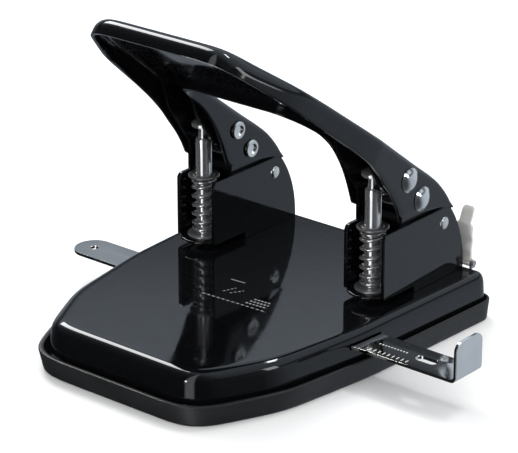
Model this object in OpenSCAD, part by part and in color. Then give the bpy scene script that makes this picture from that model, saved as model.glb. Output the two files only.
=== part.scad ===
// Heavy-duty two-hole office punch with a raised hand lever.
// Frame: X along the line of the two holes, Y from grip to hinges, Z up, floor at z = 0.
// The two punch pins stand at y = 0.

/* [Spacing] */
// distance between the centres of the two punched holes
hole_spacing = 80; // [68:1:108]
// diameter of the punch pins
pin_d = 6; // [5:0.1:7]

/* [Base] */
// distance from the hole line to the front lip of the base
base_front = 97; // [80:0.5:125]
// distance from the hole line to the rear edge of the base
base_rear = 48.5; // [46:0.5:70]
// how far the base reaches sideways past each pin at its rear corners
side_margin = 20.9; // [18:0.1:28]
// height of the lip of the chip tray above the floor
tray_h = 8.2; // [7:0.1:12]
// height of the top face of the deck above the floor
deck_top = 18.3; // [17.5:0.1:26]
// wall thickness of the plastic tray
tray_wall = 1.8; // [1.2:0.1:3]
// sheet thickness of the steel deck
deck_sheet = 1.2; // [0.8:0.1:2]

/* [Punch heads] */
// half of the outside width of a head
head_half_w = 9.2; // [8.8:0.1:9.2]
// sheet thickness of the heads
head_sheet = 1.5; // [1:0.1:1.6]
// height of the upper edge of the head side plates
head_top = 46; // [42:0.1:46]
// open height of the slot that takes the paper
throat_h = 2.6; // [1.5:0.1:3]
// depth of the paper slot behind the pin
throat_back = 13; // [10:0.5:15]
// outside diameter of the return springs
spring_od = 9.5; // [8.8:0.1:10.4]
// diameter of the spring wire
spring_wire = 1.3; // [0.9:0.1:1.6]
// diameter of the lever hinge pins
hinge_d = 3.8; // [3:0.1:5]

/* [Lever] */
// sheet thickness of the pressed lever
lever_sheet = 1.4; // [1:0.1:1.6]
// rise of the lever above level when it is up
lever_tilt = 37.2; // [30:0.1:40]
// length of the lever forward of the heads, along its slope
lever_reach = 87.5; // [70:0.5:110]
// half width of the hand grip at the front
grip_half_w = 34; // [26:0.5:42]
// depth of the outer rim of the lever
rim_depth = 8.5; // [6:0.1:11]
// distance from the bend line of the lever to the front of its opening
opening_reach = 34; // [24:0.5:44]

/* [Paper gauge and lock] */
// width of the gauge strip
gauge_w = 15.2; // [10:0.1:18]
// length of the gauge strip
gauge_len = 183.4; // [150:1:220]
// height of the upturned end of the gauge
gauge_tab_h = 15; // [8:0.5:22]
// distance from the hole line to the middle of the gauge
gauge_y = 22.9; // [20:0.1:27]
// width of the lock strip behind the right head
lock_w = 7.8; // [6:0.1:7.8]
// height of the lock strip
lock_h = 21; // [16:0.5:24]

/* [Hidden] */
$fn = 64;
side_x = hole_spacing / 2;
base_half_w = side_x + side_margin;
front_corner_r = 14;
front_corner_x = base_half_w - 31.9;
cheek_r = 30;
cheek_x = base_half_w - 36.9;
cheek_y = -0.57 * base_front;
flank_r = 45;
flank_x = base_half_w - 47.4;
flank_y = -20;
rear_corner_r = 6;
eps = 0.02;
part_gap = 0.3;
run_fit = 0.06;
rivet_fit = 0.05;
foot_t = 1;
foot_r = 6;
tray_floor = 2.2;
post_r = 2.5;
post_top = 14;
socket_r = 4.5;
deck_floor = tray_h - 1.2;
deck_inset = 4;
deck_under = deck_top - deck_sheet;
pin_r = pin_d / 2;
head_in = head_half_w - head_sheet;
head_front = 5;
head_rear = 41.7;
head_foot_h = 10.7;
head_arc_r = 40.8;
head_arc_y = 2.4;
head_arc_z = 20.1;
web_t = 1.5;
nose_z = deck_top + throat_h;
nose_t = 1.2;
bush_r = 5;
bush_flange_r = 6.4;
bush_flange_t = 0.9;
spring_z0 = nose_z + nose_t + bush_flange_t;
clip_t = 1;
clip_z = 45.4;
clip_r = 5.9;
pin_shoulder_z = 60.8;
pin_head_z = 65.6;
pin_top = 68.2;
pin_head_r = 4.5;
pin_neck_r = 2.1;
pin_head_edge = 0.9;
die_r = 8;
die_t = 5;
hinge_y = 30.8;
hinge_z = 40;
hinge_r = hinge_d / 2;
hinge_head_r = hinge_r + 0.5;
bracket_out = head_in - part_gap;
bracket_sheet = 1.3;
bracket_in = bracket_out - bracket_sheet;
fork_z = 62;
fork_t = 1.2;
fork_front = -3.2;
fork_back = 12.5;
fork_slot_r = 2.35;
fork_slot_end = 6.9;
lever_in = head_half_w + part_gap;
lever_out = lever_in + lever_sheet;
lever_y = 1.3;
lever_z = 76.5;
open_half_w = side_x - lever_out;
lever_half_w = side_x + lever_out;
open_corner_r = 14;
grip_corner_r = 12;
lever_cheek_r = 30;
lever_cheek_y = -48;
lever_shoulder_r = 20;
lever_shoulder_y = -12;
ear_start = 30;
rivet_r = 1.6;
rivet_dome_r = 4.6;
rivet_dome_h = 2;
rivet_collar_r = 2;
rivet_tail_r = 2.6;
rivet_tail_h = 0.9;
rivet_spots = [[6.7, 64.4], [14.3, 55]];
base_rivet_ys = [24, 35];
base_rivet_r = 1.95;
base_rivet_head_r = 3;
gauge_t = 1.2;
gauge_z = 12.9;
gauge_right = 99.9;
rail_x0 = -46;
rail_x1 = 26;
stop_r = 1.5;
slot_x = gauge_right - 18;
slot_half = 2.4;
slot_r = 1.9;
lock_x = side_x + 7.5;
lock_y = base_rear - 3.3;
lock_z = deck_top + 2;
lock_pin_r = 0.8;

// ---- helpers ----

// upright plate: a shape drawn in (Y, Z), given thickness t along X from x0
module plate_x(x0, t) {
    translate([x0, 0, 0])
        rotate([90, 0, 90])
            linear_extrude(t)
                children();
}

// round bar along X from x0 to x1 at height z
module bar_x(x0, x1, y, z, r) {
    translate([x0, y, z])
        rotate([0, 90, 0])
            cylinder(r = r, h = x1 - x0);
}

// thin disc used to span the rounded plan of the base
module base_disc(x, y, r, z, inset, grow) {
    translate([x, y, z])
        cylinder(r = r - inset * grow, h = eps);
}

// one level of the base plan, drawn in by `inset`
module base_level(z, inset) {
    for (s = [-1, 1]) {
        base_disc(s * front_corner_x, front_corner_r - base_front, front_corner_r, z, inset, 1);
        base_disc(s * cheek_x, cheek_y, cheek_r, z, inset, 0.85);
        base_disc(s * flank_x, flank_y, flank_r, z, inset, 0.65);
        base_disc(s * (base_half_w - rear_corner_r), base_rear - rear_corner_r,
                  rear_corner_r, z, inset, 0.5);
    }
}

// pressed cover: steep skirt, soft shoulder, flat top
module deck_form(floor_z, top_z, inset) {
    hull() {
        base_level(floor_z, inset);
        base_level(floor_z + 4.5, inset + 0.3);
        base_level(top_z - 4, inset + 0.8);
        base_level(top_z - 2, inset + 1.8);
        base_level(top_z - 0.8, inset + 3.2);
        base_level(top_z - eps, inset + 5.4);
    }
}

module tray_form(z0, z1, inset0, inset1) {
    hull() {
        base_level(z0, inset0);
        base_level(z1 - eps, inset1);
    }
}

module at_heads() {
    for (s = [-1, 1])
        translate([s * side_x, 0, 0])
            children();
}

module post_spots() {
    for (s = [-1, 1]) {
        translate([s * (side_x - 9.5), 26 - base_front, 0]) children();
        translate([s * 20, base_rear - 10.5, 0]) children();
    }
}

module foot_spots() {
    for (s = [-1, 1]) {
        translate([s * (side_x - 9.5), 15 - base_front, 0]) children();
        translate([s * (side_x + 7), base_rear - 14, 0]) children();
    }
}

// domed head along +Z from z = 0
module dome(r, h) {
    cap_r = (r * r + h * h) / (2 * h);
    intersection() {
        translate([0, 0, h - cap_r])
            sphere(r = cap_r);
        cylinder(r = r, h = h);
    }
}

// ---- base ----

module chip_tray() {
    color([0.10, 0.10, 0.11]) {
        difference() {
            tray_form(0, tray_h, 1.5, 0);
            tray_form(tray_floor, tray_h + 1, 1.2 + tray_wall, tray_wall);
            foot_spots()
                translate([0, 0, -1])
                    cylinder(r = foot_r + run_fit, h = foot_t + 1);
        }
        post_spots()
            translate([0, 0, tray_floor - 1])
                cylinder(r = post_r, h = post_top - tray_floor + 1);
    }
}

module rubber_feet() {
    color([0.16, 0.16, 0.16])
        foot_spots() cylinder(r = foot_r, h = foot_t);
}

module deck() {
    color([0.06, 0.06, 0.07])
        difference() {
            deck_form(deck_floor, deck_top, deck_inset);
            deck_form(deck_floor - 1, deck_under, deck_inset + deck_sheet);
            at_heads() {
                translate([0, 0, deck_under - 1])
                    cylinder(r = pin_r + 0.3, h = deck_sheet + 2);
                for (y = base_rivet_ys)
                    translate([0, y, deck_under - 1])
                        cylinder(r = base_rivet_r + rivet_fit, h = deck_sheet + 2);
            }
            translate([-base_half_w, -gauge_y - gauge_w / 2 - 0.4, gauge_z - 0.4])
                cube([2 * base_half_w, gauge_w + 0.8, gauge_t + 0.8]);
        }
}

module snap_sockets() {
    color([0.20, 0.20, 0.21])
        post_spots()
            translate([0, 0, tray_h + 1])
                difference() {
                    cylinder(r = socket_r, h = deck_under - tray_h - 1);
                    translate([0, 0, -1])
                        cylinder(r = post_r + run_fit, h = deck_under - tray_h + 1);
                }
}

// ---- heads ----

module head_side_shape() {
    difference() {
        intersection() {
            translate([-head_front, deck_top])
                square([50, head_top - deck_top]);
            translate([head_arc_y, head_arc_z])
                circle(r = head_arc_r, $fn = 180);
        }
        translate([-head_front - 1, deck_top - 1])
            square([head_front + 1 + throat_back, throat_h + 1]);
        translate([hinge_y, hinge_z])
            circle(r = hinge_r + run_fit);
    }
}

module head_frame() {
    color([0.09, 0.09, 0.10]) {
        plate_x(-head_half_w, head_sheet) head_side_shape();
        plate_x(head_in, head_sheet) head_side_shape();
        difference() {
            translate([-head_in, throat_back + 2, deck_top])
                cube([2 * head_in, head_rear - throat_back - 2, web_t]);
            for (y = base_rivet_ys)
                translate([0, y, deck_top - 1])
                    cylinder(r = base_rivet_r + rivet_fit, h = web_t + 2);
        }
        translate([-head_in, head_rear - web_t, deck_top])
            cube([2 * head_in, web_t, head_foot_h]);
        difference() {
            union() {
                translate([0, 0, nose_z])
                    cylinder(r = head_half_w, h = nose_t);
                translate([-head_in, 0, nose_z])
                    cube([2 * head_in, throat_back, nose_t]);
            }
            translate([0, 0, nose_z - 1])
                cylinder(r = bush_r + run_fit, h = nose_t + 2);
        }
        translate([-head_in, throat_back, deck_top])
            cube([2 * head_in, web_t, throat_h + nose_t]);
    }
}

module guide_bush() {
    color([0.22, 0.22, 0.23])
        translate([0, 0, nose_z - 0.4])
            difference() {
                union() {
                    cylinder(r = bush_r, h = nose_t + 0.4);
                    translate([0, 0, nose_t + 0.4])
                        cylinder(r = bush_flange_r, h = bush_flange_t);
                }
                translate([0, 0, -1])
                    cylinder(r = pin_r + run_fit, h = 6);
            }
}

module die() {
    color([0.55, 0.56, 0.58])
        translate([0, 0, deck_under - die_t])
            difference() {
                cylinder(r = die_r, h = die_t);
                translate([0, 0, -1])
                    cylinder(r = pin_r + run_fit, h = die_t + 2);
            }
}

module head_rivets() {
    color([0.72, 0.73, 0.75])
        at_heads()
            for (y = base_rivet_ys)
                translate([0, y, 0]) {
                    translate([0, 0, deck_under - 1.2])
                        cylinder(r = base_rivet_head_r, h = 1.2);
                    translate([0, 0, deck_under - eps])
                        cylinder(r = base_rivet_r, h = deck_sheet + web_t + 2 * eps);
                    translate([0, 0, deck_top + web_t])
                        dome(base_rivet_head_r, 1.4);
                }
}

module hinge_pin() {
    color([0.75, 0.76, 0.78]) {
        bar_x(-head_half_w - eps, head_half_w + eps, hinge_y, hinge_z, hinge_r);
        for (s = [-1, 1])
            translate([s * head_half_w, hinge_y, hinge_z])
                rotate([0, s * 90, 0])
                    dome(hinge_head_r, 0.9);
    }
}

// ---- punch pins and springs ----

module punch_pin() {
    notch = 0.9;
    color([0.85, 0.86, 0.88])
        difference() {
            union() {
                translate([0, 0, nose_z + 0.4])
                    cylinder(r = pin_r, h = pin_shoulder_z - nose_z - 0.4);
                translate([0, 0, pin_shoulder_z])
                    cylinder(r1 = pin_r, r2 = pin_neck_r, h = 0.6);
                translate([0, 0, pin_shoulder_z + 0.6 - eps])
                    cylinder(r = pin_neck_r, h = pin_head_z - pin_shoulder_z);
                translate([0, 0, pin_head_z])
                    cylinder(r = pin_head_r, h = pin_head_edge);
                translate([0, 0, pin_head_z + pin_head_edge - eps])
                    dome(pin_head_r, pin_top - pin_head_z - pin_head_edge + eps);
            }
            translate([0, 0, nose_z + 0.4])
                rotate([0, 90, 0])
                    cylinder(r = notch, h = pin_d + 2, center = true);
        }
}

module spring_clip() {
    color([0.62, 0.63, 0.65])
        translate([0, 0, clip_z])
            difference() {
                cylinder(r = clip_r, h = clip_t);
                translate([0, 0, -1])
                    cylinder(r = pin_r + rivet_fit, h = clip_t + 2);
            }
}

// round wire wound as a helix, closed at both ends
module return_spring() {
    turns = 7;
    steps = 20;
    ring = 8;
    mean_r = (spring_od - spring_wire) / 2;
    z0 = spring_z0 + spring_wire / 2 + 0.1;
    rise = clip_z - spring_z0 - spring_wire - 0.2;
    count = turns * steps;
    function ease(t) = t - 0.055 * sin(360 * t);
    points = [for (i = [0:count], j = [0:ring - 1])
        let (a = 360 * i / steps, b = 360 * j / ring,
             r = mean_r + spring_wire / 2 * cos(b),
             z = z0 + rise * ease(i / count) + spring_wire / 2 * sin(b))
        [r * cos(a), r * sin(a), z]];
    sides = [for (i = [0:count - 1], j = [0:ring - 1])
        let (k = (j + 1) % ring)
        [i * ring + j, i * ring + k, (i + 1) * ring + k, (i + 1) * ring + j]];
    first_end = [[for (j = [0:ring - 1]) ring - 1 - j]];
    last_end = [[for (j = [0:ring - 1]) count * ring + j]];
    color([0.80, 0.80, 0.82])
        polyhedron(points = points, faces = concat(sides, first_end, last_end));
}

// ---- lever ----

// the lever's own frame: -Y runs up its slope, z = 0 is its top face
module lever_frame() {
    translate([0, lever_y, lever_z])
        rotate([-lever_tilt, 0, 0])
            children();
}

module lever_plan(inset) {
    hull() {
        for (s = [-1, 1]) {
            translate([s * (grip_half_w - grip_corner_r), grip_corner_r - lever_reach])
                circle(r = grip_corner_r - inset);
            translate([s * (lever_half_w - lever_cheek_r - 6), lever_cheek_y])
                circle(r = lever_cheek_r - inset);
            translate([s * (lever_half_w - lever_shoulder_r), lever_shoulder_y])
                circle(r = lever_shoulder_r - inset);
            translate([s * (lever_half_w - 20), ear_start])
                square([40 - 2 * inset, 60], center = true);
        }
    }
}

module opening_plan(grow) {
    for (s = [-1, 1])
        translate([s * (open_half_w - open_corner_r), open_corner_r - opening_reach])
            circle(r = open_corner_r + grow);
    translate([-open_half_w - grow, open_corner_r - opening_reach])
        square([2 * (open_half_w + grow), 100]);
    translate([-open_half_w + open_corner_r, -opening_reach - grow])
        square([2 * (open_half_w - open_corner_r), 100]);
}

// side view of the lever: flat top, rolled front, plates that reach down over the heads
module lever_side() {
    polygon([[-lever_reach, -rim_depth + 1.5], [-lever_reach, -5],
             [1 - lever_reach, -2.2], [3 - lever_reach, -0.6], [6 - lever_reach, 0],
             [22, 0], [30, -0.4], [35.7, -1.4], [40, -2.6], [43.2, -3.9], [45.1, -5],
             [39.9, -6], [17.2, -18.8], [14.5, -19.3], [5.4, -14.8], [-1.6, -12.9],
             [-8, -11], [-15, -9.8], [-26, -rim_depth - 0.4], [-40, -rim_depth]]);
}

// what is cut below the shallower inner flange
module inner_rim_cut() {
    polygon([[-60, -6.5], [-30, -6.2], [-17, -6], [-9.9, -7], [-1.5, -10], [5.5, -13.4],
             [13.2, -18], [14.5, -19.4], [14.5, -30], [-60, -30]]);
}

module lever_handle() {
    color([0.07, 0.07, 0.08])
        difference() {
            lever_frame()
                difference() {
                    intersection() {
                        plate_x(-lever_half_w, 2 * lever_half_w) lever_side();
                        translate([0, 0, -40])
                            linear_extrude(60) lever_plan(0);
                    }
                    translate([0, 0, -60 - lever_sheet])
                        linear_extrude(60)
                            difference() {
                                lever_plan(lever_sheet);
                                opening_plan(lever_sheet);
                            }
                    translate([0, 0, -60])
                        linear_extrude(90) opening_plan(0);
                    plate_x(-open_half_w - 3, 2 * open_half_w + 6) inner_rim_cut();
                    for (s = [-1, 1])
                        translate([s * side_x - lever_in, ear_start, -40])
                            cube([2 * lever_in, 60, 60]);
                }
            for (p = rivet_spots)
                bar_x(-lever_half_w - 1, lever_half_w + 1, p[0], p[1], rivet_r + rivet_fit);
        }
}

// bracket cheek: from the hinge ear up into the hollow of the lever
module bracket_cheek(front_low, front_high) {
    difference() {
        union() {
            polygon([front_low, [28, 35], [35.6, 43.4], [30.5, 48], [24, 55.4], [0.15, 74.6],
                     [-15.5, 86.4], [-12, 75], [-4, 63], front_high]);
            translate([hinge_y, hinge_z])
                circle(r = 6);
        }
        translate([hinge_y, hinge_z])
            circle(r = hinge_r + run_fit);
        for (p = rivet_spots)
            translate(p)
                circle(r = rivet_r + rivet_fit);
    }
}

module lever_bracket() {
    color([0.14, 0.14, 0.15]) {
        plate_x(-bracket_out, bracket_sheet)
            bracket_cheek([-0.5, 46.9], [-0.5, 58]);
        plate_x(bracket_in, bracket_sheet)
            bracket_cheek([7.4, 44.3], [7.4, 52]);
        difference() {
            translate([-bracket_in, fork_front, fork_z])
                cube([2 * bracket_in, fork_back - fork_front, fork_t]);
            translate([-fork_slot_r, fork_front - 1, fork_z - 1])
                cube([2 * fork_slot_r, fork_slot_end - fork_front + 1, fork_t + 2]);
            translate([0, fork_slot_end, fork_z - 1])
                cylinder(r = fork_slot_r, h = fork_t + 2);
            for (s = [-1, 1])
                translate([s * bracket_in, rivet_spots[0][0], fork_z + fork_t / 2])
                    cube([2 * rivet_tail_h + 0.6, 2 * rivet_tail_r + 0.8, fork_t + 2], center = true);
        }
        plate_x(-bracket_in, 2 * bracket_in)
            polygon([[25.2, 53.2], [24.3, 54.2], [17, 60], [16, 58.8]]);
    }
}

// side +1: domed heads face +X; side -1: they face -X
module lever_rivets(side) {
    color([0.78, 0.78, 0.80])
        for (p = rivet_spots) {
            bar_x(-lever_out - eps, -bracket_in + eps, p[0], p[1], rivet_r);
            bar_x(bracket_in - eps, lever_out + eps, p[0], p[1], rivet_r);
            bar_x(-lever_in, -bracket_out, p[0], p[1], rivet_collar_r);
            bar_x(bracket_out, lever_in, p[0], p[1], rivet_collar_r);
            translate([side * lever_out, p[0], p[1]])
                rotate([0, side * 90, 0])
                    dome(rivet_dome_r, rivet_dome_h);
            for (s = [-1, 1])
                translate([s * (bracket_in - rivet_tail_h / 2), p[0], p[1]])
                    rotate([0, 90, 0])
                        cylinder(r = rivet_tail_r, h = rivet_tail_h, center = true);
            translate([-side * lever_out, p[0], p[1]])
                rotate([0, -side * 90, 0])
                    difference() {
                        cylinder(r = 3.5, h = 1.2);
                        translate([0, 0, 0.5])
                            cylinder(r = 1.6, h = 1);
                    }
        }
}

// ---- gauge ----

module paper_gauge() {
    left = gauge_right - gauge_len;
    color([0.80, 0.80, 0.80])
        translate([0, -gauge_y, 0]) {
            difference() {
                union() {
                    translate([left + gauge_w / 2, -gauge_w / 2, gauge_z])
                        cube([gauge_len - gauge_w / 2, gauge_w, gauge_t]);
                    translate([left + gauge_w / 2, 0, gauge_z])
                        cylinder(r = gauge_w / 2, h = gauge_t);
                }
                translate([left + gauge_w / 2, 0, gauge_z - 1])
                    cylinder(r = 1.6, h = gauge_t + 2);
                for (dx = [-slot_half, slot_half])
                    translate([slot_x + dx, 0, gauge_z - 1])
                        cylinder(r = slot_r, h = gauge_t + 2);
                translate([slot_x - slot_half, -slot_r, gauge_z - 1])
                    cube([2 * slot_half, 2 * slot_r, gauge_t + 2]);
                translate([0, 0, gauge_z - 1])
                    cylinder(r = stop_r + rivet_fit, h = gauge_t + 2);
            }
            plate_x(gauge_right - gauge_t, gauge_t)
                polygon([[-gauge_w / 2, gauge_z], [gauge_w / 2, gauge_z],
                         [gauge_w / 2, gauge_z + gauge_tab_h - 2.6],
                         [gauge_w / 2 - 0.8, gauge_z + gauge_tab_h - 0.8],
                         [gauge_w / 2 - 2.6, gauge_z + gauge_tab_h],
                         [2.6 - gauge_w / 2, gauge_z + gauge_tab_h],
                         [0.8 - gauge_w / 2, gauge_z + gauge_tab_h - 0.8],
                         [-gauge_w / 2, gauge_z + gauge_tab_h - 2.6]]);
        }
}

module gauge_stop_rivet() {
    color([0.70, 0.70, 0.72])
        translate([0, -gauge_y, 0]) {
            translate([0, 0, gauge_z - 2.6])
                cylinder(r = stop_r, h = gauge_t + 2.6);
            translate([0, 0, gauge_z + gauge_t])
                cylinder(r = 2.6, h = 0.7);
        }
}

module gauge_rail() {
    rail_z = gauge_z - part_gap - 1;
    rail_w = gauge_w + 2 * part_gap;
    color([0.35, 0.35, 0.37])
        translate([0, -gauge_y, 0]) {
            difference() {
                translate([rail_x0, -rail_w / 2 - 1, rail_z])
                    cube([rail_x1 - rail_x0, rail_w + 2, 1]);
                translate([rail_x0 + 6, -stop_r - part_gap, rail_z - 1])
                    cube([rail_x1 - rail_x0 - 12, 2 * (stop_r + part_gap), 3]);
            }
            for (s = [-1, 1])
                translate([rail_x0, s * (rail_w / 2 + 0.5) - 0.5, rail_z])
                    cube([rail_x1 - rail_x0, 1, deck_under - rail_z]);
        }
}

// ---- lock ----

module lever_lock() {
    top = lock_z + lock_h;
    color([0.80, 0.80, 0.80])
        translate([lock_x, 0, 0]) {
            difference() {
                bar_x(-lock_w / 2, lock_w / 2, lock_y, lock_z, 1.5);
                bar_x(-lock_w, lock_w, lock_y, lock_z, lock_pin_r + run_fit);
            }
            plate_x(-lock_w / 2, lock_w)
                polygon([[lock_y - 0.6, lock_z + 1.2], [lock_y + 0.5, lock_z + 1.35],
                         [lock_y + 0.6, lock_z + 5], [lock_y + 1.1, lock_z + 8],
                         [lock_y + 0.8, lock_z + 11], [lock_y + 1.6, top - 6.5],
                         [lock_y + 0.4, top - 6.2], [lock_y - 0.2, lock_z + 11],
                         [lock_y + 0.1, lock_z + 8], [lock_y - 0.4, lock_z + 5]]);
            plate_x(-lock_w / 2 + 1.4, lock_w - 2.8)
                polygon([[lock_y + 0.4, top - 6.5], [lock_y + 1.6, top - 6.8],
                         [lock_y + 3, top - 2.6], [lock_y + 4.4, top - 0.7],
                         [lock_y + 3.7, top], [lock_y + 2, top - 2.2]]);
        }
}

module lock_bracket() {
    lug_gap = lock_w / 2 + 0.2;
    color([0.30, 0.30, 0.32])
        translate([lock_x, 0, 0]) {
            for (x = [-lug_gap - 1, lug_gap])
                plate_x(x, 1)
                    difference() {
                        union() {
                            translate([lock_y - 1.2, deck_top])
                                square([2.4, 2]);
                            translate([lock_y, lock_z])
                                circle(r = 1.2);
                        }
                        translate([lock_y, lock_z])
                            circle(r = lock_pin_r + rivet_fit);
                    }
        }
}

module lock_pin() {
    reach = lock_w / 2 + 1.2;
    color([0.70, 0.70, 0.72])
        translate([lock_x, 0, 0]) {
            bar_x(-reach, reach, lock_y, lock_z, lock_pin_r);
            bar_x(-reach - 0.5, -reach, lock_y, lock_z, 1.1);
            bar_x(reach, reach + 0.5, lock_y, lock_z, 1.1);
        }
}

module left() {
    translate([-side_x, 0, 0]) children();
}

module right() {
    translate([side_x, 0, 0]) children();
}

module left_head_frame() { left() head_frame(); }
module right_head_frame() { right() head_frame(); }
module left_guide_bush() { left() guide_bush(); }
module right_guide_bush() { right() guide_bush(); }
module left_die() { left() die(); }
module right_die() { right() die(); }
module left_hinge_pin() { left() hinge_pin(); }
module right_hinge_pin() { right() hinge_pin(); }
module left_lever_bracket() { left() lever_bracket(); }
module right_lever_bracket() { right() lever_bracket(); }
module left_lever_rivets() { left() lever_rivets(-1); }
module right_lever_rivets() { right() lever_rivets(1); }
module left_punch_pin() { left() punch_pin(); }
module right_punch_pin() { right() punch_pin(); }
module left_spring_clip() { left() spring_clip(); }
module right_spring_clip() { right() spring_clip(); }
module left_return_spring() { left() return_spring(); }
module right_return_spring() { right() return_spring(); }

chip_tray();
rubber_feet();
deck();
snap_sockets();
left_head_frame();
right_head_frame();
left_guide_bush();
right_guide_bush();
left_die();
right_die();
head_rivets();
left_hinge_pin();
right_hinge_pin();
lever_handle();
left_lever_bracket();
right_lever_bracket();
left_lever_rivets();
right_lever_rivets();
left_punch_pin();
right_punch_pin();
left_spring_clip();
right_spring_clip();
left_return_spring();
right_return_spring();
paper_gauge();
gauge_stop_rivet();
gauge_rail();
lever_lock();
lock_bracket();
lock_pin();
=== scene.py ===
"""Looks of a two-hole office punch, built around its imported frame.

Pieces are drawn in millimetres in the frame of the part and brought to metres when each one is finished.
The right-hand punch head stands at +X, the grip of the lever reaches towards -Y and +Z is up.
"""

import math

import bmesh
import bpy
from mathutils import Matrix, Vector


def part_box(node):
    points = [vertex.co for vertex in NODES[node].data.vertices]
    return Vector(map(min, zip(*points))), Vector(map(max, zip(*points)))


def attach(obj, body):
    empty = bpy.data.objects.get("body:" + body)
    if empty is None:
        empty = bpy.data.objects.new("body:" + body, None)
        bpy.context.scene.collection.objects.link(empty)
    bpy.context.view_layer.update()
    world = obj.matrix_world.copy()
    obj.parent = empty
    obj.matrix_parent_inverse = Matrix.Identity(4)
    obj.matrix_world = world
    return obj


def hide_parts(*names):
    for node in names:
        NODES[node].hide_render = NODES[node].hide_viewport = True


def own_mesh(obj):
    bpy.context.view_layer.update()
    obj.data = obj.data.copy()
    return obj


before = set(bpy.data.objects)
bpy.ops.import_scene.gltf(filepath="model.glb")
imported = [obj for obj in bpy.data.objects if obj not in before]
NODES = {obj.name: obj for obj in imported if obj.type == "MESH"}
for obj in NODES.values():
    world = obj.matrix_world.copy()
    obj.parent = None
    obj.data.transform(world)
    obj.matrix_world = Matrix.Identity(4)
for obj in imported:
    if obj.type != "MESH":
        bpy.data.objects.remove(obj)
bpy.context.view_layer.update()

MM = 0.001


def low(node):
    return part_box(node)[0] / MM


def high(node):
    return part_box(node)[1] / MM


# ---- driving sizes, read from the frame ----

side_x = (low("right_punch_pin").x + high("right_punch_pin").x) / 2
base_front = -low("chip_tray").y
base_rear = high("chip_tray").y
base_half_w = high("chip_tray").x
deck_low = low("deck").z
deck_top = high("deck").z
head_half_w = high("right_head_frame").x - side_x
head_top = high("right_head_frame").z
head_rear = high("right_head_frame").y
spring_low = low("right_return_spring").z
spring_top = high("right_return_spring").z
clip_z = low("right_spring_clip").z
pin_low = low("right_punch_pin").z
pin_top = high("right_punch_pin").z
gauge_left = low("paper_gauge").x
gauge_right = high("paper_gauge").x
gauge_low = low("paper_gauge").z
gauge_top = high("paper_gauge").z
gauge_y = (low("paper_gauge").y + high("paper_gauge").y) / 2
gauge_half = (high("paper_gauge").y - low("paper_gauge").y) / 2
lever_half_w = high("lever_handle").x
lock_x = (low("lever_lock").x + high("lever_lock").x) / 2
lock_half = (high("lever_lock").x - low("lever_lock").x) / 2
lock_top = high("lever_lock").z

deck_sheet = 1.2
tray_lip = deck_low + deck_sheet
head_sheet = 1.5
head_in = head_half_w - head_sheet
throat_h = 2.6
throat_back = 13
nose_z = deck_top + throat_h
nose_t = 1.2
base_rivet_ys = (24, 35)
spring_od = 9.5
spring_wire = 1.3
hinge = (30.8, 40)
hinge_r = 1.9
lever_sheet = 1.4
part_gap = 0.3
lever_in = head_half_w + part_gap
lever_out = lever_in + lever_sheet
open_half_w = side_x - lever_out
bracket_sheet = 1.3
bracket_out = head_in - part_gap
bracket_in = bracket_out - bracket_sheet
fork_slot_r = 2.5
fork_slot_end = 7.0
lever_tilt = math.radians(37.2)
lever_bend = Vector((0, 1.3, 76.5))
lever_reach = 87.5
opening_reach = 34
grip_half_w = 34
grip_corner = 12
ear_start = 30
ear_tip = 44.4
rivet_spots = ((6.7, 64.4), (14.3, 55.0))
gauge_t = 1.2
lock_axis = (45.2, 20.3)


# ---- outlines ----

def arc(cx, cy, r, start, end, steps):
    """Points on a circle from one angle to another, in degrees."""
    angles = [math.radians(start + (end - start) * i / steps) for i in range(steps + 1)]
    return [(cx + r * math.cos(a), cy + r * math.sin(a)) for a in angles]


def wrap(circles, steps):
    """The outline of a band stretched round circles (x, y, radius), listed anticlockwise."""
    def tangent(a, b):
        d = Vector(b[:2]) - Vector(a[:2])
        return math.atan2(d.y, d.x) - math.acos((a[2] - b[2]) / d.length)

    points = []
    count = len(circles)
    for i, (x, y, r) in enumerate(circles):
        start = tangent(circles[i - 1], circles[i])
        end = tangent(circles[i], circles[(i + 1) % count])
        while end < start - 1e-6:
            end += 2 * math.pi
        while end > start + math.pi * 1.5:
            end -= 2 * math.pi
        points += arc(x, y, r, math.degrees(start), math.degrees(end), steps[i])
    return points


def relax(outline, count, passes, weight):
    """A closed outline respaced evenly from its front middle, its bends eased where weight(x, y) says."""
    closed = outline + outline[:1]
    at = next(i for i in range(len(outline)) if closed[i][0] < 0 <= closed[i + 1][0])
    turned = outline[at + 1:] + outline[:at + 1]
    front = ((turned[0][0] + turned[-1][0]) / 2, (turned[0][1] + turned[-1][1]) / 2)
    path = [front] + turned + [front]
    run = [0.0]
    for a, b in zip(path, path[1:]):
        run.append(run[-1] + math.dist(a, b))
    points = []
    k = 0
    for i in range(count):
        goal = run[-1] * i / count
        while run[k + 1] < goal:
            k += 1
        t = (goal - run[k]) / max(run[k + 1] - run[k], 1e-9)
        (ax, ay), (bx, by) = path[k], path[k + 1]
        points.append((ax + (bx - ax) * t, ay + (by - ay) * t))
    strength = [0.5 * weight(x, y) for x, y in points]
    for _ in range(passes):
        points = [(x + w * ((points[i - 1][0] + points[(i + 1) % count][0]) / 2 - x),
                   y + w * ((points[i - 1][1] + points[(i + 1) % count][1]) / 2 - y))
                  for i, ((x, y), w) in enumerate(zip(points, strength))]
    return points


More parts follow.
